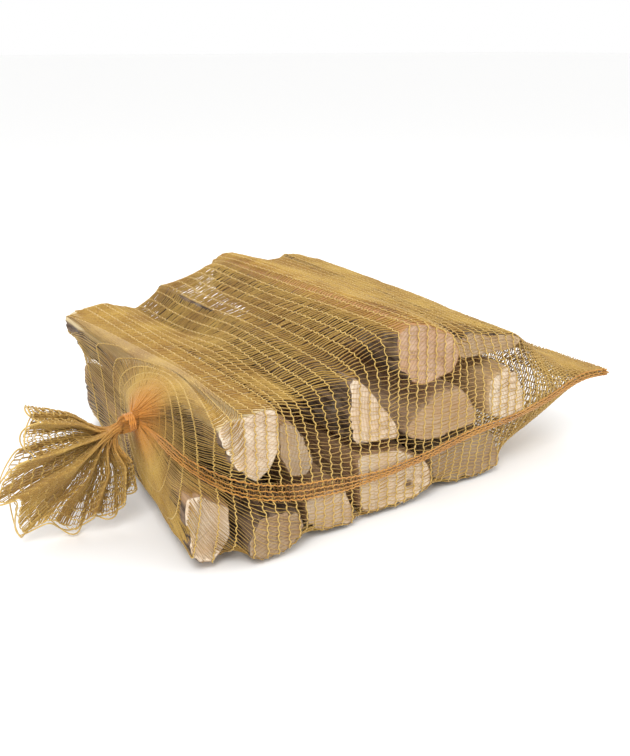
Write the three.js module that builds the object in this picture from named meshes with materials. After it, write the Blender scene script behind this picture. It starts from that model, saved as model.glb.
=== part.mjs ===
// Split firewood in a knitted net sack that lies on its side, in millimetres.
// X runs along the sack, from its tied neck at -X to its sewn bottom at +X. Y runs along the logs, whose
// sawn front ends face -Y. Z is up, and the sack lies on z = 0.
// Everything is laid out from the sack's front left corner, and the whole group is moved at the end, so
// that the origin is the middle of the underside of the object's box.
import * as THREE from 'three';
import { ConvexGeometry } from 'three/addons/geometries/ConvexGeometry.js';

// The sack: its wall, the air between it and the wood, and its sewn bottom edge.
// Where its outer face is lower than sackFlat, it lies flat on the ground.
const sackWall = 1.6;
const sackClearance = 1.2;
const sackFlat = 1.2;
const sackEnd = { x: 384, front: -6, back: 306, z: 70, halfHeight: 2.2 };

// The neck, gathered and tied against the left side of the logs, and the loose net beyond it.
const neck = { x: -1, y: 93, z: 79, radius: 4.4, length: 12, turn: 0.02, lean: 0.16 };
const tail = {
  length: 86, halfHeight: 46, halfDepth: 13, droop: 34, folds: 5, foldDepth: 0.25,
  openEarly: 0.75, openArc: 0.86, lift: 0.5,
};

// The cord that is wound tight round the neck: its turns lie side by side, clear of the net.
const tie = { cordRadius: 1, turns: 3, gap: 0.4, from: 3.2 };

// Columns of the sack's mesh over the logs and under them, and its rows on the body and on the tail.
const columnsOver = 24;
const columnsUnder = 20;
const flatRows = 20;
const bodyRows = 32;
const tailRows = 7;

// The sheet of the sack starts loose, at this distance from the core, and is pulled tight in steps. Then
// its facets are moved clear of the wood's edges, tested at these shares of their corners.
const slack = 60;
const relaxSteps = 300;
const pressSteps = 16;
const leastLift = 0.02;
const facetShares = [];
const shareSteps = 11;
for (let i = 0; i <= shareSteps; i += 1) {
  for (let j = 0; j <= shareSteps - i; j += 1) {
    facetShares.push([i, j, shareSteps - i - j].map((n) => n / shareSteps));
  }
}

// The core line that the sheet is laid out from, and the box that its columns aim at.
const core = { y: 150, z: 70, fanX: 42, fanY: 100, evenX: 130, wedgeX: 316 };
const aimBox = { low: 2, front: -6, back: 306, sideShare: 0.2 };

// Each log: the outline of its front end as [x, z], where that end stands in y, how far its back end is
// shifted in x and z, and how much wider and higher its back end is.
const logs = {
  log_bottom_1: {
    outline: [
      [-11, 58], [-12, 40], [-11, 23], [-9, 14], [-2, 6], [7, 3.6], [15, 10], [23, 20], [23, 43],
      [0, 58],
    ],
    start: 0, length: 301, shift: [47, 0], grow: [1.0, 1.0], colour: '#d8bf9b',
  },
  log_bottom_2: {
    outline: [[25, 20], [27, 8], [37, 3], [55, 3.5], [69, 11], [73, 22], [67, 32], [52, 38], [34, 35]],
    start: -14, length: 298, shift: [43, 1], grow: [1.0, 1.05], colour: '#8d6f4e',
  },
  log_bottom_3: {
    outline: [[78, 33], [80, 13], [90, 4], [122, 3], [120, 18], [114, 34], [100, 38]],
    start: -4, length: 300, shift: [37, 1], grow: [0.9, 1.08], colour: '#ccb08a',
  },
  log_bottom_4: {
    outline: [
      [125, 54], [127, 14], [133, 4], [160, 3], [180, 5], [199, 12], [196, 30], [188, 38], [165, 51],
    ],
    start: 0, length: 303, shift: [32, 0], grow: [1.0, 1.0], colour: '#d9c09c',
  },
  log_bottom_5: {
    outline: [[202, 30], [204, 12], [225, 3.5], [262, 3], [279, 6], [270, 35], [258, 42], [216, 39]],
    start: 8, length: 292, shift: [28, 0], grow: [1.0, 1.04], colour: '#a98c69',
  },
  log_middle_1: {
    outline: [
      [13, 98], [20, 104], [56, 107], [62, 102], [63, 75], [55, 61], [43, 53], [34, 58], [23, 72],
      [15, 89],
    ],
    start: 0, length: 302, shift: [8, 4], grow: [1.0, 1.0], colour: '#e0c9a6',
  },
  log_middle_2: {
    outline: [[66, 62], [66, 88], [71, 91], [79, 86], [87, 77], [92, 66], [96, 52], [90, 43], [76, 44]],
    start: 10, length: 294, shift: [9, 13], grow: [0.92, 1.05], colour: '#b59a72',
  },
  log_middle_3: {
    outline: [[119, 117], [125, 113], [141, 98], [151, 84], [163, 68], [166, 58], [122, 61], [117, 85]],
    start: 0, length: 304, shift: [-2, 5], grow: [1.14, 1.02], colour: '#dcc49f',
  },
  log_middle_4: {
    outline: [
      [171, 58], [174, 66], [186, 76], [203, 86], [226, 86], [236, 76], [244, 62], [246, 53],
      [214, 48], [186, 48],
    ],
    start: 3, length: 297, shift: [14, 2], grow: [1.02, 1.0], colour: '#bf9f78',
  },
  log_middle_5: {
    outline: [[253, 56], [250, 70], [252, 87], [271, 96], [284, 88], [291, 73], [294, 52], [276, 48]],
    start: 0, length: 300, shift: [16, 2], grow: [1.02, 1.0], colour: '#e3cfae',
  },
  log_top_1: {
    outline: [
      [159, 113], [159, 139], [170, 146], [189, 143], [214, 131], [221, 112], [216, 101], [204, 98],
      [188, 94], [174, 98],
    ],
    start: 0, length: 304, shift: [14, -3], grow: [1.05, 1.0], colour: '#c7a078',
  },
  log_top_2: {
    outline: [
      [229, 106], [231, 120], [240, 123], [268, 119], [297, 112], [301, 106], [292, 101], [262, 101],
      [238, 102],
    ],
    start: 16, length: 288, shift: [12, 4], grow: [0.9, 1.3], colour: '#a5855f',
  },
};

// The logs: each is the hull of its outline at four stations, the middle two a little swollen, and its
// ends are sawn a little out of square.
const swell = [1, 1.02, 1.02, 1];
const sawTilt = { front: 0.03, back: 0.04 };

function logPoints(log) {
  const outline = log.outline.map(([x, z]) => new THREE.Vector2(x, z));
  const box = new THREE.Box2().setFromPoints(outline);
  const middle = box.getCenter(new THREE.Vector2());
  const foot = new THREE.Vector2(middle.x, box.min.y);
  const points = [];
  const last = swell.length - 1;
  swell.forEach((size, i) => {
    const t = i / last;
    for (const p of outline) {
      const wide = THREE.MathUtils.lerp(1, log.grow[0], t) * size;
      const high = THREE.MathUtils.lerp(1, log.grow[1], t);
      const front = i === 0 ? sawTilt.front * (p.y - middle.y) : 0;
      const back = i === last ? sawTilt.back * (p.x - middle.x) : 0;
      points.push(new THREE.Vector3(
        foot.x + (p.x - foot.x) * wide + log.shift[0] * t,
        log.start + log.length * t + front + back,
        foot.y + (p.y - foot.y) * high + log.shift[1] * t,
      ));
    }
  });
  return points;
}

const wood = new THREE.Group();
const logPlanes = [];
for (const [name, log] of Object.entries(logs)) {
  const geometry = new ConvexGeometry(logPoints(log));
  geometry.deleteAttribute('normal');
  geometry.computeVertexNormals();
  const material = new THREE.MeshStandardMaterial({ color: log.colour, roughness: 0.85, metalness: 0 });
  const mesh = new THREE.Mesh(geometry, material);
  mesh.name = name;
  wood.add(mesh);
  logPlanes.push(planesOf(geometry));
}

// The planes of a convex solid's faces.
function planesOf(geometry) {
  const position = geometry.getAttribute('position');
  const corner = [0, 1, 2].map(() => new THREE.Vector3());
  const planes = [];
  for (let i = 0; i < position.count; i += 3) {
    corner.forEach((c, k) => c.fromBufferAttribute(position, i + k));
    const plane = new THREE.Plane().setFromCoplanarPoints(...corner);
    const known = planes.some((p) => p.normal.distanceTo(plane.normal) < 1e-3);
    if (!known && plane.normal.lengthSq() > 0.5) planes.push(plane);
  }
  return planes;
}

// How far from an origin the wood reaches along a direction, with the sack's clearance.
function woodReach(origin, direction) {
  let farthest = 0;
  for (const planes of logPlanes) {
    let enter = 0;
    let leave = Infinity;
    for (const plane of planes) {
      const height = plane.distanceToPoint(origin) - sackClearance;
      const climb = plane.normal.dot(direction);
      if (climb > 1e-6) leave = Math.min(leave, -height / climb);
      else if (climb < -1e-6) enter = Math.max(enter, height / -climb);
      else if (height > 0) leave = -1;
    }
    if (leave > enter) farthest = Math.max(farthest, leave);
  }
  return farthest;
}

// Heights along the sack: of its front side seam, and of the edge between its front and its top.
const seamPath = pathPoints([
  [-16, 66], [-7, 61], [37, 50], [77, 41], [116, 35.5], [152, 34], [195, 38], [245, 46], [300, 52],
  [340, 59], [384, 69],
]);
const edgePath = pathPoints([
  [-16, 98], [8, 104], [58, 107], [90, 98], [122, 116], [158, 138], [190, 144], [225, 128], [262, 122],
  [300, 113], [330, 98], [384, 74],
]);

function pathPoints(places) {
  return new THREE.SplineCurve(places.map(([x, z]) => new THREE.Vector2(x, z))).getPoints(200);
}

function heightAt(path, x) {
  const after = path.findIndex((p) => p.x >= x);
  if (after <= 0) return after < 0 ? path.at(-1).y : path[0].y;
  const [a, b] = [path[after - 1], path[after]];
  return THREE.MathUtils.mapLinear(x, a.x, b.x, a.y, b.y);
}

// A loop of the sack runs from the front seam over the logs to the back seam, then under them.
const columns = columnsOver + columnsUnder;

// Where a column lies on its half of the loop: over the logs or under them, from the front to the back.
function columnPlace(column) {
  const over = column <= columnsOver;
  return { over, t: over ? column / columnsOver : 1 - (column - columnsOver) / columnsUnder };
}

// A column's aim on a box-shaped loop round the logs, which has a column at each of its corners.
function boxPoint(column, x) {
  const { over, t } = columnPlace(column);
  const edge = over ? heightAt(edgePath, x) : aimBox.low;
  const corners = [
    [aimBox.front, heightAt(seamPath, x)], [aimBox.front, edge], [aimBox.back, edge], [aimBox.back, core.z],
  ].map(([y, z]) => new THREE.Vector3(x, y, z));
  const side = aimBox.sideShare;
  const k = t < side ? 0 : t > 1 - side ? 2 : 1;
  const mix = [t / side, (t - side) / (1 - 2 * side), (t - 1 + side) / side][k];
  return corners[k].lerp(corners[k + 1], mix);
}

// A column's place on the sewn end, a thin lens.
function endPoint(column) {
  const { over, t } = columnPlace(column);
  const thick = sackEnd.halfHeight * (over ? 1 : -1) * (t > 0 && t < 1 ? 1 : 0);
  const y = THREE.MathUtils.lerp(sackEnd.front, sackEnd.back, t);
  return new THREE.Vector3(sackEnd.x, y, sackEnd.z + thick);
}

// The neck leans down a little as it leaves the logs.
const neckAxis = new THREE.Vector3(-1, neck.turn, -neck.lean).normalize();
const neckUp = new THREE.Vector3(0, 0, 1).addScaledVector(neckAxis, -neckAxis.z).normalize();
const neckCentre = new THREE.Vector3(neck.x, neck.y, neck.z);

function neckPoint(column, along, wide, high) {
  const { over, t } = columnPlace(column);
  const angle = Math.PI * (over ? t : 2 - t);
  return neckCentre.clone()
    .addScaledVector(neckAxis, along)
    .addScaledVector(new THREE.Vector3(0, -1, 0), wide * Math.cos(angle))
    .addScaledVector(neckUp, high * Math.sin(angle));
}

// Each point of the sheet slides on a ray of its own, from the middle of the logs outwards. The rays lie
// square to the sack up to its last flat row, and from there they swing round to the neck.
function sackRays() {
  const rays = [];
  for (let row = 0; row < bodyRows; row += 1) {
    const flat = Math.min(1, row / flatRows);
    const x = THREE.MathUtils.lerp(sackEnd.x, core.fanX, flat);
    const y = THREE.MathUtils.lerp(core.fanY, core.y, THREE.MathUtils.smoothstep(x, core.fanX, core.evenX));
    const origin = new THREE.Vector3(x, y, core.z);
    const wedge = THREE.MathUtils.smoothstep(x, core.wedgeX, sackEnd.x);
    const swing = Math.max(0, (row - flatRows) / (bodyRows - 1 - flatRows));
    rays.push(Array.from({ length: columns }, (_, c) => {
      const aim = boxPoint(c, x).lerp(endPoint(c).setX(x), wedge).sub(origin).normalize();
      const toNeck = neckPoint(c, 0, neck.radius, neck.radius).sub(origin).normalize();
      const direction = aim.lerp(toNeck, swing).normalize();
      return { origin, direction, least: woodReach(origin, direction) };
    }));
  }
  return rays;
}

function along(ray, distance) {
  return ray.origin.clone().addScaledVector(ray.direction, distance);
}

// Pulls the sheet tight over the logs: each point is drawn by four threads of even tension, and stays on
// its ray, outside the wood and off the ground.
function tightSack() {
  const rays = sackRays();
  const sheet = rays.map((row) => row.map((ray) => along(ray, Math.max(ray.least, slack))));
  sheet[0] = sheet[0].map((_, c) => endPoint(c));
  sheet[bodyRows - 1] = sheet[bodyRows - 1].map((_, c) => neckPoint(c, 0, neck.radius, neck.radius));
  for (let step = 0; step < relaxSteps; step += 1) {
    for (let row = 1; row < bodyRows - 1; row += 1) {
      for (let c = 0; c < columns; c += 1) {
        const p = sheet[row][c];
        const threads = [
          sheet[row - 1][c], sheet[row + 1][c],
          sheet[row][(c + 1) % columns], sheet[row][(c + columns - 1) % columns],
        ];
        const pulled = new THREE.Vector3();
        let pull = 0;
        for (const q of threads) {
          const share = 1 / Math.max(p.distanceTo(q), 1);
          pulled.addScaledVector(q, share);
          pull += share;
        }
        const ray = rays[row][c];
        settle(p, ray, pulled.divideScalar(pull).sub(ray.origin).dot(ray.direction));
      }
    }
  }
  for (let step = 0; step < pressSteps; step += 1) clearWood(sheet, rays);
  return sheet;
}

function settle(p, ray, distance) {
  const ground = ray.direction.z < 0 ? (ray.origin.z - sackWall) / -ray.direction.z : Infinity;
  p.copy(along(ray, Math.min(Math.max(distance, ray.least), ground)));
}

// The face by which a ray through a point inside a log's clearance leaves it, or none if it is outside.
function exitFace(planes, point, direction) {
  let face = null;
  let nearest = Infinity;
  for (const plane of planes) {
    const depth = sackClearance - plane.distanceToPoint(point);
    if (depth <= 0) return null;
    const away = depth / Math.max(plane.normal.dot(direction), 1e-6);
    if (away < nearest) {
      nearest = away;
      face = { normal: plane.normal, depth };
    }
  }
  return face;
}

// Moves the corners of each facet that still cuts the wood out along their rays, by as little as frees it.
function clearWood(sheet, rays) {
  const point = new THREE.Vector3();
  const direction = new THREE.Vector3();
  for (let row = 0; row < bodyRows - 1; row += 1) {
    for (let c = 0; c < columns; c += 1) {
      const d = (c + 1) % columns;
      const corners = [[row, c], [row, d], [row + 1, d], [row + 1, c]]
        .map(([r, k]) => ({ p: sheet[r][k], ray: rays[r][k], fixed: r === 0 || r === bodyRows - 1 }));
      for (const facet of [[0, 1, 2], [0, 2, 3]].map((three) => three.map((i) => corners[i]))) {
        for (const shares of facetShares) {
          point.set(0, 0, 0);
          direction.set(0, 0, 0);
          facet.forEach(({ p, ray }, i) => {
            point.addScaledVector(p, shares[i]);
            direction.addScaledVector(ray.direction, shares[i]);
          });
          direction.normalize();
          for (const planes of logPlanes) {
            const face = exitFace(planes, point, direction);
            if (!face) continue;
            const lifts = facet.map(({ ray, fixed }, i) => (
              fixed ? 0 : shares[i] * Math.max(0, face.normal.dot(ray.direction))
            ));
            const total = lifts.reduce((sum, lift) => sum + lift * lift, 0);
            facet.forEach(({ p, ray }, i) => {
              if (total < leastLift || !lifts[i]) return;
              settle(p, ray, p.distanceTo(ray.origin) + (face.depth * lifts[i]) / total);
            });
          }
        }
      }
    }
  }
}

// The loose net beyond the tie: a fan that opens upright, droops, and folds more towards its mouth.
function tailRow(k) {
  const t = k / tailRows;
  const along = neck.length + tail.length * t;
  const open = Math.sin(Math.PI * tail.openArc * t ** tail.openEarly);
  return Array.from({ length: columns }, (_, c) => {
    const { over, t: place } = columnPlace(c);
    const angle = Math.PI * (over ? place : 2 - place);
    const fold = 1 + tail.foldDepth * t * Math.cos(tail.folds * angle);
    const wide = THREE.MathUtils.lerp(neck.radius, tail.halfDepth, open) * fold;
    const high = THREE.MathUtils.lerp(neck.radius, tail.halfHeight, open);
    const p = neckPoint(c, along, wide, high);
    p.z = Math.max(p.z - tail.droop * t * t, sackWall + tail.lift);
    return p;
  });
}

// The sack's wall: the pulled sheet is its inner face, and the outer face stands off it.
function outward(sheet, row, c) {
  const here = sheet[row][c];
  const around = [
    (sheet[row - 1] ?? sheet[row])[c], sheet[row][(c + 1) % columns],
    (sheet[row + 1] ?? sheet[row])[c], sheet[row][(c + columns - 1) % columns],
  ].map((p) => p.clone().sub(here));
  const normal = new THREE.Vector3();
  around.forEach((edge, i) => normal.add(edge.clone().normalize().cross(around[(i + 1) % 4])));
  return normal.normalize();
}

function sackGeometry(sheet) {
  const outer = sheet.map((row, r) => row.map((p, c) => {
    const q = p.clone().addScaledVector(outward(sheet, r, c), sackWall);
    q.z = q.z < sackFlat ? 0 : q.z;
    return q;
  }));
  for (let c = 0; c < columns; c += 1) outer[0][c].x = sackEnd.x + sackWall;
  const triangles = [];
  const quad = (a, b, c, d) => triangles.push(a, b, c, a, c, d);
  for (let row = 0; row < sheet.length - 1; row += 1) {
    for (let c = 0; c < columns; c += 1) {
      const d = (c + 1) % columns;
      quad(outer[row][c], outer[row][d], outer[row + 1][d], outer[row + 1][c]);
      quad(sheet[row][c], sheet[row + 1][c], sheet[row + 1][d], sheet[row][d]);
    }
  }
  const last = sheet.length - 1;
  for (let c = 0; c < columns; c += 1) {
    const d = (c + 1) % columns;
    quad(outer[last][c], outer[last][d], sheet[last][d], sheet[last][c]);
  }
  closeEnd(triangles, outer[0], true);
  closeEnd(triangles, sheet[0], false);
  const positions = new Float32Array(triangles.flatMap((p) => [p.x, p.y, p.z]));
  const geometry = new THREE.BufferGeometry();
  geometry.setAttribute('position', new THREE.BufferAttribute(positions, 3));
  geometry.computeVertexNormals();
  return geometry;
}

// Joins the upper and lower halves of a loop across the sewn end.
function closeEnd(triangles, loop, facingOut) {
  const lower = (i) => loop[(columns - Math.round((i * columnsUnder) / columnsOver)) % columns];
  for (let i = 0; i < columnsOver; i += 1) {
    const [a, b, c, d] = [loop[i], loop[i + 1], lower(i + 1), lower(i)];
    const facets = [[a, d, c], [a, c, b]];
    for (const facet of facets) {
      const [p, q, r] = facingOut ? facet : [facet[0], facet[2], facet[1]];
      if (p !== q && q !== r && r !== p) triangles.push(p, q, r);
    }
  }
}

const sheet = tightSack();
sheet.push(...Array.from({ length: tailRows }, (_, k) => tailRow(k)));
const netMaterial = new THREE.MeshStandardMaterial({
  color: '#c8933a', roughness: 0.6, metalness: 0, side: THREE.DoubleSide,
});
const sack = new THREE.Mesh(sackGeometry(sheet), netMaterial);
sack.name = 'net_sack';

// The tie: a ring with the outline of its turns, round the neck's axis.
function tieGeometry() {
  const inner = neck.radius + sackWall + tie.gap;
  const centre = inner + tie.cordRadius;
  const profile = [new THREE.Vector2(inner, 0)];
  for (let turn = 0; turn < tie.turns; turn += 1) {
    for (let i = turn > 0 ? 1 : 0; i <= 6; i += 1) {
      const angle = Math.PI * (1 - i / 6);
      const height = (2 * turn + 1) * tie.cordRadius + tie.cordRadius * Math.cos(angle);
      profile.push(new THREE.Vector2(centre + tie.cordRadius * Math.sin(angle), height));
    }
  }
  profile.push(new THREE.Vector2(inner, 2 * tie.turns * tie.cordRadius), profile[0].clone());
  return new THREE.LatheGeometry(profile, 36);
}

const tieMaterial = new THREE.MeshStandardMaterial({ color: '#c9801f', roughness: 0.55, metalness: 0 });
const neckTie = new THREE.Mesh(tieGeometry(), tieMaterial);
neckTie.name = 'neck_tie';
neckTie.position.copy(neckPoint(0, tie.from, 0, 0));
neckTie.quaternion.setFromUnitVectors(new THREE.Vector3(0, 1, 0), neckAxis);

const bundle = new THREE.Group();
bundle.add(wood, sack, neckTie);

// The origin is the middle of the underside of the whole object's box.
const box = new THREE.Box3().setFromObject(bundle, true);
const middle = box.getCenter(new THREE.Vector3());
bundle.position.set(-middle.x, -middle.y, -box.min.z);
export default bundle;
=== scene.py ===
import math

import bpy
import numpy as np
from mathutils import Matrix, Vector
from mathutils.bvhtree import BVHTree


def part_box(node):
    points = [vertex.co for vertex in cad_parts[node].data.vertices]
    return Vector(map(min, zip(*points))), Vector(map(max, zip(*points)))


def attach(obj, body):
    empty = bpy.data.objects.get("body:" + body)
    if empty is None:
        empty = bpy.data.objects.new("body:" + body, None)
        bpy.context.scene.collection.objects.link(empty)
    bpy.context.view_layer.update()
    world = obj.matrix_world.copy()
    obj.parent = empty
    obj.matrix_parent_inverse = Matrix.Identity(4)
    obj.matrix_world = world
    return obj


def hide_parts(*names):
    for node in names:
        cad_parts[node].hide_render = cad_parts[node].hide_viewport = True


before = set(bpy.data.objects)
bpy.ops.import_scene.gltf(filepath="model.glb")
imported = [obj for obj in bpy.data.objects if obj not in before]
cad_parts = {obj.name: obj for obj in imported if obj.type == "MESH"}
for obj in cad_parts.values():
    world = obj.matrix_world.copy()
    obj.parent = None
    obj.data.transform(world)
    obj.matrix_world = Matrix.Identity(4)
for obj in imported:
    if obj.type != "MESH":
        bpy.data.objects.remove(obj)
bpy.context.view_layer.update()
mm = 0.001

# The layout's home is the front left corner of the pile, which log_bottom_4 is 125 mm away from.
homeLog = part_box("log_bottom_4")[0]
home = np.array([homeLog[0] - 125 * mm, homeLog[1] + 0.8 * mm, homeLog[2] - 3 * mm])


def place(points):  # millimetres from home, as metres in the frame
    return home + np.asarray(points, dtype=float) * mm


# ---- camera, lights and floor
viewer = {
    "at": (-251.8, -512.7, 333.0), "turn": 33.67, "tip": 19.1, "lens": 46.0,
    "floor": 60.0, "floorColour": (0.97, 0.97, 0.965), "world": 1.0,
}


def makeCamera():
    data = bpy.data.cameras.new("viewer")
    data.lens = viewer["lens"]
    data.sensor_width = 36
    data.clip_start = 0.01
    camera = bpy.data.objects.new("viewer", data)
    camera.location = place(viewer["at"])
    camera.rotation_euler = (math.radians(90 - viewer["tip"]), 0, math.radians(-viewer["turn"]))
    bpy.context.collection.objects.link(camera)
    bpy.context.scene.camera = camera


def makeLight(name, at, target, size, power, colour=(1, 1, 1)):
    data = bpy.data.lights.new(name, "AREA")
    data.shape = "DISK"
    data.size = size
    data.energy = power
    data.color = colour
    light = bpy.data.objects.new(name, data)
    light.location = at
    light.rotation_euler = (Vector(target) - Vector(at)).to_track_quat("-Z", "Y").to_euler()
    bpy.context.collection.objects.link(light)


# ---- shader maths
class Sock:
    def __init__(self, tree, socket):
        self.tree = tree
        self.socket = socket

    def sum(self, kind, other, flip=False):
        pair = (other, self) if flip else (self, other)
        return self.node("ShaderNodeMath", {"operation": kind}, {0: pair[0], 1: pair[1]})

    def __add__(self, other):
        return self.sum("ADD", other)

    __radd__ = __add__

    def __sub__(self, other):
        return self.sum("SUBTRACT", other)

    def __rsub__(self, other):
        return self.sum("SUBTRACT", other, flip=True)

    def __mul__(self, other):
        return self.sum("MULTIPLY", other)

    __rmul__ = __mul__

    def node(self, kind, settings=None, inputs=None, out=0):
        node = self.tree.nodes.new(kind)
        for key, value in (settings or {}).items():
            setattr(node, key, value)
        for key, value in (inputs or {}).items():
            if isinstance(value, Sock):
                self.tree.links.new(value.socket, node.inputs[key])
            else:
                node.inputs[key].default_value = value
        return Sock(self.tree, node.outputs[out])

    def band(self, low, high):  # 0 below low, 1 above high, smooth between
        return self.node(
            "ShaderNodeMapRange", {"interpolation_type": "SMOOTHSTEP", "clamp": True},
            {"Value": self, "From Min": low, "From Max": high},
        )

    def mix(self, low, high):  # this as the factor between two colours
        low, high = (c if isinstance(c, Sock) else (*c, 1) for c in (low, high))
        return self.node("ShaderNodeMix", {"data_type": "RGBA"}, {0: self, 6: low, 7: high}, out=2)

    def vector(self, operation, other=None, out=0):
        inputs = {0: self} if other is None else {0: self, 1: other}
        return self.node("ShaderNodeVectorMath", {"operation": operation}, inputs, out=out)

    def noise(self, scale, detail, rough, seed):  # noise on this vector, stretched by scale
        inputs = {"Vector": self, "Location": (seed, 0, 0), "Scale": scale}
        moved = self.node("ShaderNodeMapping", None, inputs)
        inputs = {"Vector": moved, "Scale": 1.0, "Detail": detail, "Roughness": rough}
        return moved.node("ShaderNodeTexNoise", None, inputs)


def newMaterial(name):
    material = bpy.data.materials.new(name)
    material.use_nodes = True
    tree = material.node_tree
    shader = next(n for n in tree.nodes if n.type == "BSDF_PRINCIPLED")
    return material, Sock(tree, None), shader


def attribute(start, name, out):
    return start.node("ShaderNodeAttribute", {"attribute_name": name}, out=out)


def plug(value, shader, name):
    value.tree.links.new(value.socket, shader.inputs[name])


def bump(height, distance, strength):
    return height.node("ShaderNodeBump", None, {"Height": height, "Distance": distance, "Strength": strength})


# ---- smooth random field, for shapes
def field(points, seed):  # between -1 and 1, one bump to a unit
    cell = np.floor(points).astype(np.int64)
    part = points - cell
    part = part * part * (3 - 2 * part)
    total = np.zeros(len(points))
    for corner in np.ndindex(2, 2, 2):
        at = cell + corner
        mixed = (at[:, 0] * 73856093) ^ (at[:, 1] * 19349663) ^ (at[:, 2] * 83492791) ^ (seed * 374761393)
        mixed = ((mixed & 0xFFFFFFFF) * 1274126177) & 0xFFFFFFFF
        mixed = ((mixed ^ (mixed >> 15)) * 2246822519) & 0xFFFFFFFF
        share = np.prod(np.where(np.array(corner) == 1, part, 1 - part), axis=1)
        total += share * ((mixed ^ (mixed >> 13)) / 0xFFFFFFFF)
    return total * 2 - 1


def rough(points, scale, seed, octaves):
    total = np.zeros(len(points))
    for level in range(octaves):
        total += field(points * np.array(scale) * 2 ** level, seed + level) / 2 ** level
    return total


def meshObject(name, points, faces):
    mesh = bpy.data.meshes.new(name)
    mesh.from_pydata([tuple(p) for p in points], [], [tuple(f) for f in faces])
    mesh.shade_smooth()
    piece = bpy.data.objects.new(name, mesh)
    bpy.context.collection.objects.link(piece)
    return piece


# ---- logs
# bark: the way that a log's bark faces, as an angle from +X towards +Z, and how wide it spreads, in degrees
# pith: where its rings are centred, in mm from its middle; colours are linear
pale = (0.52, 0.36, 0.19)
tan = (0.34, 0.20, 0.10)
logStyles = {
    "log_bottom_1": {
        "bark": (205, 40), "pith": (60, 40),
        "side": tan, "end": (0.80, 0.68, 0.53), "seed": 3,
    },
    "log_bottom_2": {
        "bark": (80, 150), "pith": (10, -60),
        "side": (0.30, 0.20, 0.12), "end": (0.42, 0.31, 0.20), "seed": 5,
    },
    "log_bottom_3": {
        "bark": (270, 50), "pith": (-20, 60),
        "side": tan, "end": (0.66, 0.53, 0.38), "seed": 7,
    },
    "log_bottom_4": {
        "knots": [(14, -8, 4.5), (-22, 9, 3)], "bark": (275, 45), "pith": (-30, 75),
        "side": tan, "end": (0.78, 0.66, 0.50), "seed": 11,
    },
    "log_bottom_5": {
        "bark": (290, 60), "pith": (20, 80),
        "side": (0.36, 0.26, 0.16), "end": (0.46, 0.35, 0.24), "seed": 13,
    },
    "log_middle_1": {
        "bark": (195, 42), "pith": (45, -55),
        "side": (0.56, 0.44, 0.24), "end": (0.84, 0.73, 0.58), "seed": 17,
    },
    "log_middle_2": {
        # its end tone is darker than the bright ends: painted shade on an end that sits behind its neighbours
        "bark": (20, 50), "pith": (-50, 10),
        "side": tan, "end": (0.60, 0.48, 0.34), "seed": 19,
    },
    "log_middle_3": {
        "knots": [(-8, -22, 4)], "bark": (178, 50), "pith": (55, 5),
        "side": tan, "end": (0.79, 0.66, 0.50), "seed": 23,
    },
    "log_middle_4": {
        "bark": (255, 55), "pith": (5, 70),
        "side": (0.40, 0.27, 0.16), "end": (0.60, 0.44, 0.28), "seed": 29,
    },
    "log_middle_5": {
        "bark": (20, 40), "pith": (-60, -30),
        "side": pale, "end": (0.84, 0.74, 0.60), "seed": 31,
    },
    "log_top_1": {
        # its end tone is a dark pinkish brown: the pinkish tint is the wood's own, the darkening is painted
        # shade
        "bark": (180, 48), "pith": (40, -45),
        "side": (0.44, 0.22, 0.08), "end": (0.60, 0.42, 0.29), "seed": 37,
    },
    "log_top_2": {
        "bark": (85, 45), "pith": (0, -90),
        "side": (0.45, 0.31, 0.17), "end": (0.58, 0.44, 0.28), "seed": 41,
    },
}
# depths in mm; patch and barkFade are how the bark's edge wanders and fades, in degrees
logGrid = {
    "round": 104, "along": 76, "capRings": 9, "inset": 0.4, "barkDepth": 2.2, "fibreDepth": 0.45,
    "waveDepth": 0.4, "rimDepth": 0.7, "capStep": 0.25, "sawDepth": 0.12, "patch": 18, "barkFade": 8,
}


def logPlanes(node):  # the side planes of a log, and its front and back end planes
    mesh = node.data
    corners = np.array([v.co[:] for v in mesh.vertices])
    sides, ends = [], {}
    for face in mesh.polygons:
        normal = np.array(face.normal)
        plane = (*normal, normal @ corners[face.vertices[0]])
        if abs(normal[1]) > 0.9:
            key = "front" if normal[1] < 0 else "back"
            if key not in ends or face.area > ends[key][0]:
                ends[key] = (face.area, plane)
        elif face.area > 1e-7:
            sides.append(plane)
    middles = []
    for key in ("front", "back"):
        edge = corners[:, 1].min() if key == "front" else corners[:, 1].max()
        ring = corners[abs(corners[:, 1] - edge) < 4 * mm]
        middles.append((ring.min(axis=0) + ring.max(axis=0)) / 2)
    return np.array(sides), ends["front"][1], ends["back"][1], middles


def onPlane(plane, x, z):  # the y of an end plane at x and z
    return (plane[3] - plane[0] * x - plane[2] * z) / plane[1]


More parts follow.
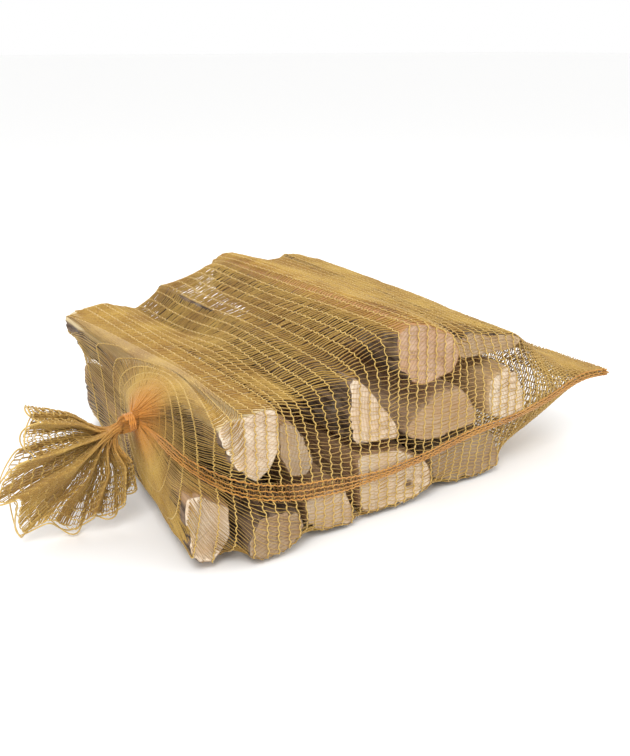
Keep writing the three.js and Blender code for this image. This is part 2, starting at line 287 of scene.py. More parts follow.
def buildLog(name, style):
    sides, front, back, middles = logPlanes(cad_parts[name])
    turns = np.arange(logGrid["round"]) / logGrid["round"] * 2 * math.pi
    ways = np.stack([np.cos(turns), np.zeros_like(turns), np.sin(turns)], axis=1)
    steps = np.linspace(0, 1, logGrid["along"] + 1)
    barkAngle, barkSpread = style["bark"]
    points, barks, grains = [], [], []
    for step in steps:
        centre = middles[0] * (1 - step) + middles[1] * step
        leave = np.full(len(turns), 1.0)
        facing = np.zeros((len(turns), 3))
        for plane in sides:
            rise = ways @ plane[:3]
            away = np.where(rise > 1e-3, (plane[3] - plane[:3] @ centre) / np.maximum(rise, 1e-3), 1.0)
            nearer = away < leave
            leave = np.where(nearer, away, leave)
            facing[nearer] = plane[:3]
        for _ in range(2):  # rounds the corners
            leave = (2 * leave + np.roll(leave, 1) + np.roll(leave, -1)) / 4
            facing = (2 * facing + np.roll(facing, 1, axis=0) + np.roll(facing, -1, axis=0)) / 4
        x = centre[0] + ways[:, 0] * leave
        z = centre[2] + ways[:, 2] * leave
        y = onPlane(front, x, z) * (1 - step) + onPlane(back, x, z) * step
        spot = np.stack([x, y, z], axis=1)
        grain = spot - [centre[0], 0, centre[2]]
        away = np.degrees(np.arctan2(facing[:, 2], facing[:, 0])) - barkAngle
        away = abs((away + 180) % 360 - 180)
        patch = logGrid["patch"] * rough(grain, (30, 9, 30), style["seed"], 2)
        bark = np.clip((barkSpread - away + patch) / logGrid["barkFade"], 0, 1)
        fibre = rough(grain, (260, 5, 260), style["seed"] + 50, 3)
        wave = rough(grain, (22, 7, 22), style["seed"] + 60, 2)
        furrow = abs(rough(grain, (95, 16, 95), style["seed"] + 70, 3))
        split = logGrid["inset"] + logGrid["waveDepth"] * (1 + wave) + logGrid["fibreDepth"] * (1 + fibre)
        sink = split * (1 - bark)
        sink += bark * logGrid["barkDepth"] * (0.15 + np.minimum(1, 1.1 * (1 - furrow)) ** 3)
        edge = min(step, 1 - step) * logGrid["along"]
        sink += logGrid["rimDepth"] * max(0, 1 - edge)
        shrink = 1 - sink * mm / leave
        shrink = np.stack([shrink, np.ones_like(shrink), shrink], axis=1)
        points.append(np.array([centre[0], 0, centre[2]]) + grain * shrink)
        barks.append(bark)
        grains.append(grain)
    count = logGrid["round"]
    rows = len(steps)
    faces = []
    for row in range(rows - 1):
        for k in range(count):
            a, b = row * count + k, row * count + (k + 1) % count
            faces.append((a, b, b + count, a + count))
    points = np.concatenate(points)
    barks = np.concatenate(barks)
    grains = np.concatenate(grains)
    ends = np.zeros(len(points))
    for plane, rim, flip in ((front, 0, True), (back, (rows - 1) * count, False)):
        outline = points[rim:rim + count]
        middle = outline.mean(axis=0)
        side = 1 if flip else -1
        last = rim
        for ring in range(logGrid["capRings"]):
            share = 0.965 * (1 - ring / logGrid["capRings"]) ** 0.9 + (0.012 if ring else 0)
            spots = middle + (outline - middle) * share
            saw = logGrid["sawDepth"] * rough(spots, (900, 0, 300), style["seed"] + 80, 2)
            spots[:, 1] = onPlane(plane, spots[:, 0], spots[:, 2]) + (logGrid["capStep"] + saw) * mm * side
            start = len(points)
            points = np.concatenate([points, spots])
            grains = np.concatenate([grains, spots - [middle[0], 0, middle[2]]])
            barks = np.concatenate([barks, np.zeros(count)])
            ends = np.concatenate([ends, np.ones(count)])
            for k in range(count):
                a, b = last + k, last + (k + 1) % count
                c, d = start + (k + 1) % count, start + k
                faces.append((a, d, c, b) if flip else (a, b, c, d))
            last = start
        hub = len(points)
        centre = middle.copy()
        centre[1] = onPlane(plane, middle[0], middle[2]) + logGrid["capStep"] * mm * side
        points = np.concatenate([points, [centre]])
        grains = np.concatenate([grains, [[0, centre[1], 0]]])
        barks = np.append(barks, 0)
        ends = np.append(ends, 1)
        for k in range(count):
            a, b = last + k, last + (k + 1) % count
            faces.append((a, hub, b) if flip else (a, b, hub))
    faces = [face[::-1] for face in faces]
    piece = meshObject(name + "_wood", points, faces)
    for label, values in (("bark", barks), ("endGrain", ends)):
        piece.data.attributes.new(label, "FLOAT", "POINT").data.foreach_set("value", values)
    piece.data.attributes.new("grain", "FLOAT_VECTOR", "POINT").data.foreach_set("vector", grains.ravel())
    return piece, points, faces


ringWidth = 0.0026  # of a year's growth, in metres


def woodMaterial(name, style):
    material, start, shader = newMaterial(name)
    grain = attribute(start, "grain", 1)
    bark = attribute(start, "bark", 2)
    end = attribute(start, "endGrain", 2)
    seed = float(style["seed"])
    side = style["side"]
    light = tuple(min(0.9, 1.3 * c + 0.04) for c in side)
    dark = tuple(0.42 * c for c in side)
    fibre = grain.noise((800, 12, 800), 4, 0.6, seed)
    streak = grain.noise((240, 3, 240), 3, 0.55, seed + 1).band(0.42, 0.68)
    stain = grain.noise((38, 9, 38), 3, 0.5, seed + 2).band(0.35, 0.7)
    sideColour = streak.mix(light, side)
    sideColour = (stain * 0.45).mix(sideColour, tuple(0.6 * c for c in side))
    sideColour = (fibre.band(0.55, 0.72) * 0.6).mix(sideColour, dark)
    plates = grain.noise((160, 30, 160), 4, 0.6, seed + 3)
    moss = grain.noise((70, 40, 70), 2, 0.5, seed + 4)
    barkColour = plates.band(0.38, 0.62).mix((0.045, 0.028, 0.018), (0.21, 0.14, 0.09))
    barkColour = (moss.band(0.55, 0.75) * 0.5).mix(barkColour, (0.30, 0.26, 0.20))
    pithX, pithZ = style["pith"]
    spread = grain.vector("MULTIPLY", (1, 0, 1))
    fromPith = spread.vector("SUBTRACT", (pithX * mm, 0, pithZ * mm))
    radius = fromPith.vector("LENGTH", out=1)
    bent = radius + 0.006 * spread.noise((30, 1, 30), 2, 0.5, seed + 5)
    phase = bent * (2 * math.pi / ringWidth)
    late = phase.node("ShaderNodeMath", {"operation": "SINE"}, {0: phase}).band(0.1, 1.0)
    way = fromPith.vector("NORMALIZE")
    rays = way.noise((160, 1, 160), 2, 0.5, seed + 6)
    checks = rays.band(0.66, 0.7) * spread.noise((25, 1, 25), 1, 0.5, seed + 7).band(0.45, 0.6)
    blotch = spread.noise((45, 1, 45), 3, 0.55, seed + 8)
    sawn = spread.noise((1500, 1, 260), 2, 0.5, seed + 9)
    endTone = style["end"]
    endColour = blotch.band(0.35, 0.7).mix(endTone, tuple(c * k for c, k in zip(endTone, (0.90, 0.80, 0.70))))
    endColour = (late * 0.42).mix(endColour, tuple(c * k for c, k in zip(endTone, (0.70, 0.56, 0.42))))
    endColour = (sawn.band(0.5, 0.75) * 0.3).mix(endColour, tuple(min(1, 1.2 * c) for c in endTone))
    # the checks are painted dark: painted shade inside the cracks
    endColour = (checks * 0.75).mix(endColour, tuple(0.25 * c for c in endTone))
    for knotX, knotZ, knotRadius in style.get("knots", ()):
        away = spread.vector("DISTANCE", (knotX * mm, 0, knotZ * mm), out=1)
        knot = (1 - away.band(0.4 * knotRadius * mm, knotRadius * mm)) * 0.85
        endColour = knot.mix(endColour, (0.10, 0.05, 0.02))
    colour = bark.mix(sideColour, barkColour)
    colour = end.mix(colour, endColour)
    plug(colour, shader, "Base Color")
    sideHeight = fibre * 0.7 + streak * 0.5
    height = sideHeight * (1 - bark) + plates * 2.4 * bark
    height = height * (1 - end) + (late * 0.25 + sawn * 0.3 - checks * 1.2) * end
    plug(bump(height, 0.0011, 0.9), shader, "Normal")
    plug(0.72 + fibre * 0.2, shader, "Roughness")
    shader.inputs["Specular IOR Level"].default_value = 0.3
    return material


print("logs")
woodPoints, woodFaces = [], []
for logName, logStyle in logStyles.items():
    logPiece, logSpots, logFaces = buildLog(logName, logStyle)
    logPiece.data.materials.append(woodMaterial(logName + "_grain", logStyle))
    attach(logPiece, "root")
    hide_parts(logName)
    first = sum(len(p) for p in woodPoints)
    woodPoints.append(logSpots)
    woodFaces += [[first + i for i in face] for face in logFaces]
wood = BVHTree.FromPolygons(np.concatenate(woodPoints).tolist(), woodFaces)

# ---- the net's sheet, in layout millimetres
# courses go round the sack, over the logs and under them; every second row of the sheet is a wale
net = {
    "over": 130, "under": 124, "flatRows": 80, "fanRows": 26, "endX": 384, "fanX": 42, "clear": 0.95,
    "sweeps": 420, "settle": 60, "speed": 1.75, "slack": 60, "front": -6, "back": 306, "low": 2,
    "floor": 0.75,
    "taut": 14, "width": 0.84, "rest": 0.82, "endZ": 70, "endHalf": 2.2, "neck": (-1, 93, 79),
    "neckRadius": 4.4, "core": (150, 70), "side": 0.17,
}
# heights along the sack, as (x, z): of its front seam, and of the edge between its front and its top
seamLine = np.array([
    (-16, 66), (-7, 61), (37, 50), (77, 41), (116, 35.5), (152, 34), (195, 38), (245, 46), (300, 52),
    (340, 59), (384, 69),
])
edgeLine = np.array([
    (-16, 98), (8, 104), (58, 107), (90, 98), (122, 116), (158, 138), (190, 144), (225, 128), (262, 122),
    (300, 113), (330, 98), (384, 74),
])
count = net["over"] + net["under"]
turn = np.arange(count)
isOver = turn <= net["over"]
across = np.where(isOver, turn / net["over"], 1 - (turn - net["over"]) / net["under"])
neckAxis = np.array([-1, 0.02, -0.16])
neckAxis /= np.linalg.norm(neckAxis)
neckUp = np.array([0, 0, 1]) - neckAxis * neckAxis[2]
neckUp /= np.linalg.norm(neckUp)
loopAngle = math.pi * np.where(isOver, across, 2 - across)


def smooth(value, low, high):
    share = np.clip((value - low) / (high - low), 0, 1)
    return share * share * (3 - 2 * share)


def unit(vectors):
    return vectors / np.maximum(np.linalg.norm(vectors, axis=-1, keepdims=True), 1e-9)


def neckRing(along, wide, high):
    wide, high = np.broadcast_to(wide, count), np.broadcast_to(high, count)
    return (
        np.array(net["neck"]) + neckAxis * along
        + np.outer(wide * np.cos(loopAngle), (0, -1, 0)) + np.outer(high * np.sin(loopAngle), neckUp)
    )


def boxRing(x):  # a loop of points to aim at, round the logs
    seamZ = np.interp(x, seamLine[:, 0], seamLine[:, 1])
    edgeZ = np.interp(x, edgeLine[:, 0], edgeLine[:, 1])
    side = net["side"]
    far = np.where(isOver, edgeZ, net["low"])
    up = np.interp(across, (0, side, 1 - side, 1), (0, 1, 1, 0))
    y = np.interp(across, (side, 1 - side), (net["front"], net["back"]))
    start = np.where(across < 0.5, seamZ, net["core"][1])
    return np.stack([np.full(count, x), y, start + (far - start) * up], axis=1)


def endRing(x):
    thick = net["endHalf"] * np.where(isOver, 1, -1) * ((across > 0) & (across < 1))
    y = net["front"] + (net["back"] - net["front"]) * across
    return np.stack([np.full(count, x), y, net["endZ"] + thick], axis=1)


def pullNet():
    rows = net["flatRows"] + net["fanRows"]
    origins, ways = [], []
    for row in range(rows):
        x = net["endX"] + (net["fanX"] - net["endX"]) * min(1, row / net["flatRows"])
        swing = max(0, (row - net["flatRows"]) / (net["fanRows"] - 1))
        y = 100 + (net["core"][0] - 100) * smooth(x, net["fanX"], 130)
        origin = np.array([x, y, net["core"][1]])
        wedge = smooth(x, 316, net["endX"])
        aim = unit(boxRing(x) * (1 - wedge) + endRing(x) * wedge - origin)
        toNeck = unit(neckRing(0, net["neckRadius"], net["neckRadius"]) - origin)
        origins.append(np.tile(origin, (count, 1)))
        ways.append(unit(aim * (1 - swing) + toNeck * swing))
    origins, ways = np.array(origins), np.array(ways)
    least = np.zeros((rows, count))
    for row in range(rows):
        for c in range(count):
            way = Vector(ways[row, c])
            start = Vector(place(origins[row, c])) + way * 0.4
            hit = wood.ray_cast(start, -way, 0.4)[0]
            if hit:
                least[row, c] = (hit - start).length * -1000 + 400 + net["clear"]
    drop = (net["core"][1] - net["floor"]) / np.maximum(-ways[..., 2], 1e-3)
    ground = np.where(ways[..., 2] < -1e-3, drop, 1e6)
    away = np.minimum(np.maximum(least, net["slack"]), ground)
    sheet = origins + ways * away[..., None]
    sheet[0] = endRing(net["endX"])
    sheet[-1] = neckRing(0, net["neckRadius"], net["neckRadius"])
    taut = (1 + net["taut"] * smooth(origins[:, 0, 0], 285, 330))[:, None]
    checker = (np.add.outer(np.arange(rows), turn) % 2).astype(bool)
    for sweepStep in range(net["sweeps"]):
        for colour in (checker, ~checker):
            pulled = np.zeros_like(sheet)
            pull = np.zeros(sheet.shape[:2])
            for shift, axis in ((1, 0), (-1, 0), (1, 1), (-1, 1)):
                q = np.roll(sheet, shift, axis=axis)
                share = 1 / np.maximum(np.linalg.norm(sheet - q, axis=2), 0.6)
                if axis == 0:
                    share = share * taut
                pulled += q * share[..., None]
                pull += share
            wanted = ((pulled / pull[..., None] - origins) * ways).sum(axis=2)
            speed = net["speed"] if sweepStep < net["sweeps"] - net["settle"] else 1.0
            wanted = away + (wanted - away) * speed
            wanted = np.minimum(np.maximum(wanted, least), ground)
            colour = colour.copy()
            colour[0] = colour[-1] = False
            away = np.where(colour, wanted, away)
            moved = origins + ways * away[..., None]
            sheet[1:-1] = moved[1:-1]
    return sheet


# the loose net beyond the tie opens like a fan, seen from the front; each row's points are spread by their
# place round the loop
# reach: the fan's edge as (angle, distance from the neck), angles from +X towards +Z in degrees
tail = {
    "rows": 26, "neckLength": 11, "pleats": 6, "depth": 13.0, "low": 1.2,
    "reach": [
        (157, 62), (172, 66), (181, 66), (190, 80), (198, 96), (209, 92), (219, 97), (232, 84), (246, 70),
        (262, 56), (275, 42),
    ],
}


def fanTail():
    rows = []
    knot = np.array(net["neck"]) + neckAxis * tail["neckLength"]
    reach = np.array(tail["reach"], dtype=float)
    share = across
    for k in range(1, tail["rows"] + 1):
        t = k / tail["rows"]
        pleat = np.cos(2 * math.pi * tail["pleats"] * share + 0.6 * np.sin(9 * share))
        angle = reach[0, 0] + (reach[-1, 0] - reach[0, 0]) * (share + 0.012 * np.sin(11 * share))
        far = np.interp(angle, reach[:, 0], reach[:, 1])
        open = smooth(t, 0, 0.55)
        spread = angle * open + (200 + (angle - 200) * 0.12) * (1 - open)
        away = 2 + far * t * (1 - 0.05 * (1 - open))
        waveAt = np.stack([share * 3 + 5, np.full(count, t * 2.0), isOver * 7.0], axis=1)
        wave = rough(waveAt, (1, 1, 1), 91, 2)
        deep = (4.0 * (1 - open) + tail["depth"] * 0.42 * open)
        y = np.where(isOver, -1, 1) * deep * np.sin(math.pi * np.clip(share, 0.03, 0.97)) ** 0.5
        y = y + 6 * open * np.sin(3 * math.pi * share + 2 * t + 0.5)
        y = y + (3.2 + 3.6 * open) * pleat * np.where(isOver, 1, -1) + 3.0 * wave * open
        curl = 1 + 0.06 * pleat * open
        turned = np.radians(spread + 3.2 * open * np.sin(2 * math.pi * tail["pleats"] * share + 1.0))
        x = knot[0] + away * curl * np.cos(turned)
        z = knot[2] + away * curl * np.sin(turned) + (1 - open) * 3.5 * np.sin(loopAngle)
        z = np.maximum(z, tail["low"] + 0.6 * (1 + pleat))
        rows.append(np.stack([x, knot[1] + 3 * t + y, z], axis=1))
    return rows


def outwards(sheet):
    alongRows = np.gradient(sheet, axis=0)
    roundLoop = np.roll(sheet, -1, axis=1) - np.roll(sheet, 1, axis=1)
    return unit(np.cross(roundLoop, alongRows)), unit(alongRows)


# each row's points are set evenly along its loop, over the logs and under them
def evenly(row, spread):
    loop = np.concatenate([row, row[:1]])
    spots = []
    for low, high, number in ((0, net["over"], net["over"]), (net["over"], count, net["under"])):
        part = loop[low:high + 1]
        gone = np.concatenate([[0], np.cumsum(np.linalg.norm(np.diff(part, axis=0), axis=1))])
        even = np.linspace(0, gone[-1], number + 1)[:-1]
        spots.append(np.stack([np.interp(even, gone, part[:, k]) for k in range(3)], axis=1))
    return row * (1 - spread) + np.concatenate(spots) * spread


print("net sheet")
sheet = pullNet()
bodyRows = knotRow = len(sheet)
sheet = np.array([evenly(row, 1.0 if 3 < k < bodyRows - 2 else 0.0) for k, row in enumerate(sheet)])
bound = 0.93 * net["neckRadius"]  # the neck is drawn in under the tie
neckRows = [neckRing(tail["neckLength"] * share, bound, bound) for share in (0.5, 1.0)]
sheet = np.concatenate([sheet, np.array(neckRows), np.array(fanTail())])
# below 6 mm the sheet is let down, so that it lies on the ground
lowest = sheet[..., 2].min()
under = sheet[..., 2] < 6
settled = 6 - (6 - sheet[..., 2]) * (6 - net["rest"]) / (6 - lowest)
sheet[..., 2] = np.where(under, settled, sheet[..., 2])
sheetOut, sheetAlong = outwards(sheet)


# ---- yarns: lines with a thickness and a facing, swept into tapes and cords by geometry nodes
class Lines:
    def __init__(self):
        self.points, self.edges, self.thick, self.facing = [], [], [], []
        self.total = 0

    def add(self, points, thick, facing):  # each point joined to the next; points as lines x steps x 3
        lines, steps = points.shape[:2]
        first = self.total + np.arange(lines * steps).reshape(lines, steps)
        self.points.append(points.reshape(-1, 3))
        self.edges.append(np.stack([first[:, :-1].ravel(), first[:, 1:].ravel()], axis=1))
        self.thick.append(np.broadcast_to(thick, (lines, steps)).ravel())
        self.facing.append(facing.reshape(-1, 3))
        self.total += lines * steps

    def ring(self, points, thick, facing):
        self.add(points[None], thick, facing[None])
        self.edges.append(np.array([[self.total - 1, self.total - len(points)]]))


def sweepTree():
    tree = bpy.data.node_groups.new("yarn_sweep", "GeometryNodeTree")
    tree.interface.new_socket("Geometry", in_out="INPUT", socket_type="NodeSocketGeometry")
    tree.interface.new_socket("Geometry", in_out="OUTPUT", socket_type="NodeSocketGeometry")
    names = {}
    for socketName, kind in (("Width", "Float"), ("Height", "Float"), ("Material", "Material")):
        socket = tree.interface.new_socket(socketName, in_out="INPUT", socket_type="NodeSocket" + kind)
        names[socketName] = socket.identifier
    entry, leave = tree.nodes.new("NodeGroupInput"), tree.nodes.new("NodeGroupOutput")

    def step(kind, inputs, **settings):
        node = tree.nodes.new(kind)
        for key, value in settings.items():
            setattr(node, key, value)
        for key, value in inputs.items():
            if isinstance(value, bpy.types.NodeSocket):
                tree.links.new(value, node.inputs[key])
            else:
                node.inputs[key].default_value = value
        return node.outputs[0]

    facing = step("GeometryNodeInputNamedAttribute", {"Name": "facing"}, data_type="FLOAT_VECTOR")
    thick = step("GeometryNodeInputNamedAttribute", {"Name": "thick"}, data_type="FLOAT")
    curve = step("GeometryNodeMeshToCurve", {"Mesh": entry.outputs["Geometry"]})
    curve = step("GeometryNodeSetCurveNormal", {"Curve": curve, "Normal": facing}, mode="FREE")
    size = {side: entry.outputs[side] for side in ("Width", "Height")}
    profile = step("GeometryNodeCurvePrimitiveQuadrilateral", size)
    yarn = step("GeometryNodeCurveToMesh", {"Curve": curve, "Profile Curve": profile, "Scale": thick})
    yarn = step("GeometryNodeRealizeInstances", {"Geometry": yarn})
    yarn = step("GeometryNodeSetMaterial", {"Geometry": yarn, "Material": entry.outputs["Material"]})
    tree.links.new(yarn, leave.inputs[0])
    return tree, names


sweep, sweepInputs = sweepTree()


def sweepLines(name, lines, width, height, material):
    mesh = bpy.data.meshes.new(name + "_lines")
    spots = place(np.concatenate(lines.points))
    edges = np.concatenate(lines.edges)
    mesh.vertices.add(len(spots))
    mesh.vertices.foreach_set("co", spots.astype(np.float32).ravel())
    mesh.edges.add(len(edges))
    mesh.edges.foreach_set("vertices", edges.astype(np.int32).ravel())
    thick = np.concatenate(lines.thick).astype(np.float32)
    facing = np.concatenate(lines.facing).astype(np.float32).ravel()
    mesh.attributes.new("thick", "FLOAT", "POINT").data.foreach_set("value", thick)
    mesh.attributes.new("facing", "FLOAT_VECTOR", "POINT").data.foreach_set("vector", facing)
    piece = bpy.data.objects.new(name, mesh)
    bpy.context.collection.objects.link(piece)
    modifier = piece.modifiers.new("sweep", "NODES")
    modifier.node_group = sweep
    modifier[sweepInputs["Width"]] = width * mm
    modifier[sweepInputs["Height"]] = height * mm
    modifier[sweepInputs["Material"]] = material
    swept = bpy.data.meshes.new_from_object(piece.evaluated_get(bpy.context.evaluated_depsgraph_get()))
    piece.modifiers.clear()
    piece.data = swept
    swept.name = name
    swept.shade_smooth()
    bpy.data.meshes.remove(mesh)
    return piece


def tapeMaterial(name, colour, darker, glow):
    material, start, shader = newMaterial(name)
    where = start.node("ShaderNodeTexCoord", None, None, out=3)
    fine = where.noise((900, 900, 900), 2, 0.5, 1)
    broad = where.noise((26, 26, 26), 2, 0.5, 2)
    tone = (fine * 0.5 + broad * 0.6).band(0.35, 0.75)
    knot = Vector(place(net["neck"]))
    fromKnot = where.vector("DISTANCE", knot, out=1)
    warm = (1 - fromKnot.band(*yarn["warmReach"])) * (0.45 + 0.7 * fine)
    plug(warm.mix(tone.mix(darker, colour), yarn["warm"]), shader, "Base Color")
    plug(0.42 + fine * 0.3, shader, "Roughness")
    plug(bump(where.noise((2600, 2600, 2600), 1, 0.5, 3), 0.0002, 0.6), shader, "Normal")
    shader.inputs["Sheen Weight"].default_value = glow
    return material


# ---- wales and rungs
yarn = {
    "wale": 0.5, "zigzag": 0.75, "ripple": 0.22, "rungWidth": 0.86, "rungThick": 0.2, "slant": 0.9,
    "bands": 5,
    "colour": (0.58, 0.37, 0.075), "darker": (0.33, 0.17, 0.025), "waleColour": (0.66, 0.45, 0.13),
    "warm": (0.60, 0.22, 0.02), "warmReach": (0.004, 0.042), "search": 7.0, "waleGap": 0.75, "rungGap": 0.6,
    "topWidth": 0.4, "backWidth": 0.8, "endWidth": 0.8, "tailWidth": 1.3, "denseRows": 18,
}
dice = np.random.default_rng(20)
strandLift = dice.uniform(-0.5, 1.0, count)


def surfaceAt(row, where, lift=0.0, side=0.0):  # a spot on the sheet at a row and a place round its loop
    low = np.floor(where).astype(int)
    part = (where - low)[..., None]
    a, b = low % count, (low + 1) % count
    spot = sheet[row, a] * (1 - part) + sheet[row, b] * part
    out = unit(sheetOut[row, a] * (1 - part) + sheetOut[row, b] * part)
    return spot + out * np.asarray(lift)[..., None] + sheetAlong[row, a] * np.asarray(side)[..., None], out


def offWood(points, out, gap):  # moves what would lie in a log out to its surface
    starts = place(points + out * yarn["search"])
    for k, (start, way) in enumerate(zip(starts.tolist(), out.tolist())):
        hit = wood.ray_cast(start, [-w for w in way], (yarn["search"] + gap) * mm)
        if hit[0]:
            points[k] += out[k] * (yarn["search"] + gap - hit[3] * 1000)
    return points


def wale(lines, row, size):
    step = np.arange(2 * count)
    where = step / 2
    sway = np.where(step % 2 == 0, 1.0, -1.0)
    slow = np.sin(where * math.pi + 0.35 * np.sin(where * 0.7 + row))
    side = (0.25 * sway + slow) * yarn["zigzag"] * size
    lift = 0.12 + yarn["ripple"] * 0.5 * sway * size
    points, out = surfaceAt(row, where, lift, side)
    if row < knotRow:
        points = offWood(points, out, yarn["waleGap"])
    thick = yarn["wale"] * size * (1 + 0.22 * sway + 0.12 * dice.standard_normal(2 * count))
    lines.ring(points, thick, out)


def rungs(lines, row, span, size):
    where = turn + 0.12 * dice.standard_normal(count)
    spots = np.stack([turn / 9.0, np.full(count, row * 0.7), np.zeros(count)], axis=1)
    group = rough(spots, (1, 1, 1), 33, 2)
    slant = yarn["slant"] * (0.55 + 0.9 * group + 0.25 * dice.standard_normal(count))
    parts = []
    facings = []
    for step, shift in ((0, -0.5), (1, 0.0), (2, 0.5)) if span == 2 else ((0, -0.5), (1, 0.5)):
        crowd = 1.4 * (1 - smooth(abs(row + step - knotRow), 2, 16))
        lift = (0.15 if 0 < step < span else 0.0) + crowd * (0.5 + strandLift)
        spot, out = surfaceAt(row + step, where + slant * shift, lift)
        if row < knotRow:
            spot = offWood(spot, out, yarn["rungGap"])
        parts.append(spot)
        facings.append(out)
    thick = 1 + 0.18 * dice.standard_normal(count) + yarn["topWidth"] * smooth(facings[0][:, 2], 0.2, 0.8)
    thick = thick + yarn["backWidth"] * smooth(facings[0][:, 1], 0.4, 0.9) * (row < knotRow)
    if row < yarn["denseRows"]:
        thick = thick + yarn["endWidth"]
    if row >= knotRow:
        thick = thick * yarn["tailWidth"]
    lines.add(np.stack(parts, axis=1), (np.clip(thick, 0.6, 2.2) * size)[:, None], np.stack(facings, axis=1))


def finish(piece):
    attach(piece, "root")
    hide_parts("net_sack")


print("yarns")
netOchre = tapeMaterial("net_tape", yarn["colour"], yarn["darker"], 0.15)
netPale = tapeMaterial("net_wale", yarn["waleColour"], yarn["colour"], 0.2)
waleRows = list(range(yarn["denseRows"])) + list(range(yarn["denseRows"], len(sheet), 2))
netPieces = []
edges = np.linspace(0, knotRow, yarn["bands"]).astype(int).tolist() + [len(sheet)]
for band in range(len(edges) - 1):
    waleLines, rungLines = Lines(), Lines()
    for row in [r for r in waleRows if edges[band] <= r < edges[band + 1]]:
        span = 1 if row < yarn["denseRows"] else 2
        nearKnot = abs(row - knotRow) / 8.0
        size = min(1.0, 0.5 + 0.5 * nearKnot)
        if row > 0 and abs(row - knotRow) > 5:
            wale(waleLines, row, min(1.0, 0.25 + 0.04 * abs(row - knotRow)))
        if row + span < len(sheet):
            rungs(rungLines, row, span, size)
    label = "net_band_%d" % (band + 1) if band < yarn["bands"] - 1 else "net_tail"
    walePiece = sweepLines(label + "_wales", waleLines, 1.6, 1.2, netPale)
    rungPiece = sweepLines(label, rungLines, yarn["rungWidth"], yarn["rungThick"], netOchre)
    print(label, len(walePiece.data.polygons), len(rungPiece.data.polygons))
    spanMm = np.linalg.norm(np.diff(sheet[edges[band]:edges[band + 1]], axis=0), axis=2).sum(axis=0).mean()
    finish(walePiece)
    finish(rungPiece)
    netPieces.append((rungPiece, walePiece, spanMm * mm))


# ---- seams, hem and tie
seams = {
    "halfRight": 2.6, "halfLeft": 5.2, "narrowFrom": 100, "narrowTo": 150, "cord": 0.9, "stitch": 0.55,
    "pitch": 1.5, "colour": (0.62, 0.30, 0.045), "darker": (0.44, 0.18, 0.02), "hem": 0.85,
}
seamMaterial = tapeMaterial("seam_yarn", seams["colour"], seams["darker"], 0.25)


def seamSpot(row, offset):  # a spot on the sheet beside the front seam, offset in mm round the loop
    whole = int(row)
    part = row - whole
    spots, outs = [], []
    for each in (whole, min(whole + 1, len(sheet) - 1)):
        pitch = np.linalg.norm(sheet[each, 1 if offset > 0 else -1] - sheet[each, 0])
        spot, out = surfaceAt(each, np.array([(offset / max(pitch, 0.8)) % count]))
        spots.append(spot[0])
        outs.append(out[0])
    return spots[0] * (1 - part) + spots[1] * part, unit(outs[0] * (1 - part) + outs[1] * part)


def seamHalf(row):
    x = sheet[int(row), 0, 0]
    narrow = smooth(x, seams["narrowFrom"], seams["narrowTo"])
    return seams["halfLeft"] + (seams["halfRight"] - seams["halfLeft"]) * narrow


def seamLines():
    cords, stitches = Lines(), Lines()
    lastRow = knotRow - 1
    rows = np.linspace(0, lastRow, 4 * lastRow + 1)
    for share, lift in ((-1, 0.7), (1, 0.7), (0.15, 1.1), (-0.5, 0.9)):
        spots, outs = [], []
        for row in rows:
            jitter = 0.35 * math.sin(row * 5.1 + share * 3) + 0.25 * math.sin(row * 11.3 + share)
            near = min(1, max(0.25, (lastRow - row) / 20))
            spot, out = seamSpot(row, (share * seamHalf(row) + jitter) * near)
            spots.append(spot + out * lift)
            outs.append(out)
        spots = offWood(np.array(spots), np.array(outs), 0.8)
        cords.add(np.array(spots)[None], 1.0 if abs(share) == 1 else 0.8, np.array(outs)[None])
    front = sheet[:knotRow, 0]
    gone = np.concatenate([[0], np.cumsum(np.linalg.norm(np.diff(front, axis=0), axis=1))])
    places = np.arange(0, gone[-1], seams["pitch"])
    spots, outs = [], []
    for k, where in enumerate(places):
        row = float(np.interp(where, gone, np.arange(len(front))))
        near = min(1, max(0.25, (lastRow - row) / 20))
        side = (1 if k % 2 else -1) * (1.05 + 0.25 * dice.standard_normal())
        spot, out = seamSpot(min(row, lastRow - 0.01), side * seamHalf(row) * near)
        spots.append(spot + out * (1.0 + 0.25 * dice.standard_normal()))
        outs.append(out)
    stitches.add(np.array(spots)[None], 1 + 0.15 * dice.standard_normal(len(spots)), np.array(outs)[None])
    return cords, stitches


def endSeamLines():  # the sewn bottom: overlock stitches over the folded edge
    stitches, cords = Lines(), Lines()
    number = 230
    y = np.linspace(net["front"], net["back"], number)
    wave = 1.2 * np.sin(y / 23.0) + 0.8 * np.sin(y / 9.0)
    for shift, lift in ((0, 0), (-4.5, 1.2), (-4.5, -1.2)):
        spots = np.stack([net["endX"] + 0.5 + shift + 0 * y, y, net["endZ"] + wave * 0.3 + lift], axis=1)
        cords.add(spots[None], 1.0, np.tile([0, 0, 1.0], (1, number, 1)))
    turnStitch = np.arange(4 * number)
    yy = np.interp(turnStitch / 4, np.arange(number), y)
    phase = turnStitch % 4
    x = net["endX"] + np.array([1.2, -2.2, -5.0, -2.2])[phase]
    z = net["endZ"] + 0.3 * np.interp(yy, y, wave) + np.array([0, 1.9, 1.7, -1.9])[phase]
    stitches.add(np.stack([x, yy, z], axis=1)[None], 1.0, np.tile([1.0, 0, 0], (1, len(x), 1)))
    return cords, stitches


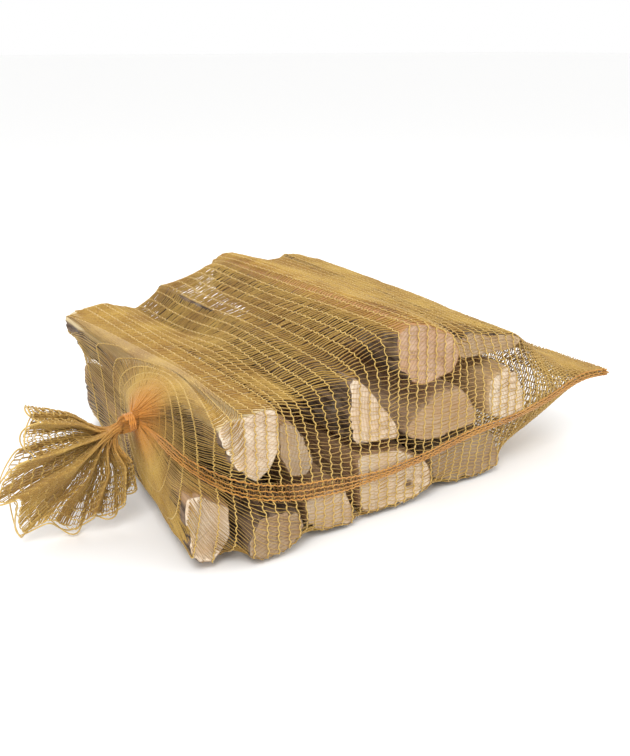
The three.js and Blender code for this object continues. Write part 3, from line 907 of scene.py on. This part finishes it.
def tieLines():  # the cord wound round the neck, of two plies
    lines = Lines()
    around = unit(np.cross(neckAxis, neckUp))
    turns, steps = 3.3, 260
    for ply in (0, math.pi):
        t = np.linspace(0, 1, steps)
        angle = 2 * math.pi * turns * t + 0.6
        twist = angle * 5 + ply
        radius = net["neckRadius"] + 1.75 + 0.42 * np.cos(twist) + 0.25 * smooth(t, 0.9, 1) * 3
        along = 3.4 + 5.6 * t + 0.42 * np.sin(twist)
        out = np.outer(np.cos(angle), around) + np.outer(np.sin(angle), neckUp)
        spots = np.array(net["neck"]) + neckAxis * along[:, None] + out * radius[:, None]
        lines.add(spots[None], 1.0, out[None])
    return lines


print("seams and tie")
stitchSize = (seams["stitch"], seams["stitch"] * 0.6)
seamCords, seamStitches = seamLines()
finish(sweepLines("side_seam_cords", seamCords, seams["cord"], seams["cord"], seamMaterial))
finish(sweepLines("side_seam_stitches", seamStitches, *stitchSize, seamMaterial))
endCords, endStitches = endSeamLines()
finish(sweepLines("end_seam_cords", endCords, seams["cord"], seams["cord"], seamMaterial))
finish(sweepLines("end_seam_stitches", endStitches, *stitchSize, seamMaterial))
hemLines = Lines()
hemLines.ring(sheet[-1] + sheetOut[-1] * 0.3, 1.0, sheetOut[-1])
finish(sweepLines("mouth_hem", hemLines, seams["hem"], seams["hem"], netPale))
for band, (rungPiece, walePiece, length) in enumerate(netPieces):
    held = "stretched" if band < len(netPieces) - 1 else "gathered"
tiePiece = sweepLines("tie_cord", tieLines(), 1.05, 1.05, seamMaterial)
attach(tiePiece, "root")
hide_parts("neck_tie")


makeCamera()
target = place((170, 150, 60))
makeLight("key", place((-700, -900, 1500)), target, 0.9, 17)
makeLight("fill", place((1400, -900, 900)), target, 1.4, 5)
makeLight("rim", place((300, 1400, 1200)), target, 1.2, 6)
world = bpy.data.worlds.new("studio")
world.use_nodes = True
world.node_tree.nodes["Background"].inputs["Color"].default_value = (1, 1, 1, 1)
world.node_tree.nodes["Background"].inputs["Strength"].default_value = viewer["world"]
bpy.context.scene.world = world
bpy.context.scene.view_settings.view_transform = "Standard"
half = viewer["floor"] / 2
floorCorners = [(-half, -half, 0), (half, -half, 0), (half, half, 0), (-half, half, 0)]
floor = meshObject("floor", floorCorners, [(0, 1, 2, 3)])
floorMaterial, _, floorShader = newMaterial("floor_paint")
floorShader.inputs["Base Color"].default_value = (*viewer["floorColour"], 1)
floorShader.inputs["Roughness"].default_value = 0.9
floor.data.materials.append(floorMaterial)
